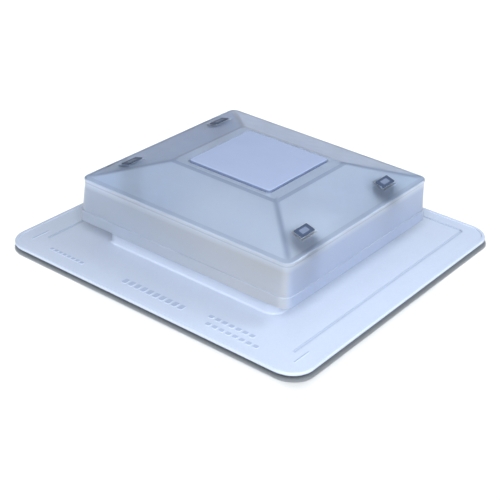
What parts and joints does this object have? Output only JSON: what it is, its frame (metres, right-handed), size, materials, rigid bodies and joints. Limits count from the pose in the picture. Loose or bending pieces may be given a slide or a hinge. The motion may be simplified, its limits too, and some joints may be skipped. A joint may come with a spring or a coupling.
{
  "type": "static roof vent",
  "caption": "Static roof vent: square nail-on flange with a throat collar and insect screen, and a translucent pyramid hood held clear of it on posts by snap-in clips.",
  "frame": {"origin": "centre of the flange's underside", "axes": "+X along the down-slope edge of the flange, +Y up the roof slope, +Z out of the roof"},
  "size_m": [0.406, 0.406, 0.1047],
  "materials": {
    "flange_plastic": "satin moulded, fine sparkle-eroded grain",
    "hood_plastic": "translucent frosted, semi-gloss",
    "panel_plastic": "satin",
    "post_plastic": "matte moulded",
    "clip_plastic": "matte moulded",
    "pin_plastic": "matte moulded",
    "screen_mesh": "plain-woven wire",
    "frame_plastic": "matte moulded",
    "screw_steel": "zinc plated"
  },
  "bodies": {
    "base": {"base_flange": "flange_plastic", "insect_screen": "screen_mesh", "screen_frame": "frame_plastic", "screen_screws": "screw_steel", "post_screws": "screw_steel", "support_post_front_right": "post_plastic", "support_post_back_right": "post_plastic", "support_post_front_left": "post_plastic", "support_post_back_left": "post_plastic"},
    "hood_assembly": {"hood": "hood_plastic", "top_panel": "panel_plastic", "hood_clip_front_right": "clip_plastic", "hood_clip_back_right": "clip_plastic", "hood_clip_front_left": "clip_plastic", "hood_clip_back_left": "clip_plastic"},
    "pin_front_right": {"clip_pin_front_right": "pin_plastic"},
    "pin_back_right": {"clip_pin_back_right": "pin_plastic"},
    "pin_front_left": {"clip_pin_front_left": "pin_plastic"},
    "pin_back_left": {"clip_pin_back_left": "pin_plastic"}
  },
  "joints": [
    {"name": "hood_lift", "type": "slide", "parent": "base", "child": "hood_assembly", "axis": [0, 0, 1], "range_m": [0, 0.12]},
    {"name": "pin_pull_front_right", "type": "slide", "parent": "hood_assembly", "child": "pin_front_right", "axis": [0, 0, 1], "range_m": [0, 0.008]},
    {"name": "pin_pull_back_right", "type": "slide", "parent": "hood_assembly", "child": "pin_back_right", "axis": [0, 0, 1], "range_m": [0, 0.008]},
    {"name": "pin_pull_front_left", "type": "slide", "parent": "hood_assembly", "child": "pin_front_left", "axis": [0, 0, 1], "range_m": [0, 0.008]},
    {"name": "pin_pull_back_left", "type": "slide", "parent": "hood_assembly", "child": "pin_back_left", "axis": [0, 0, 1], "range_m": [0, 0.008]}
  ]
}
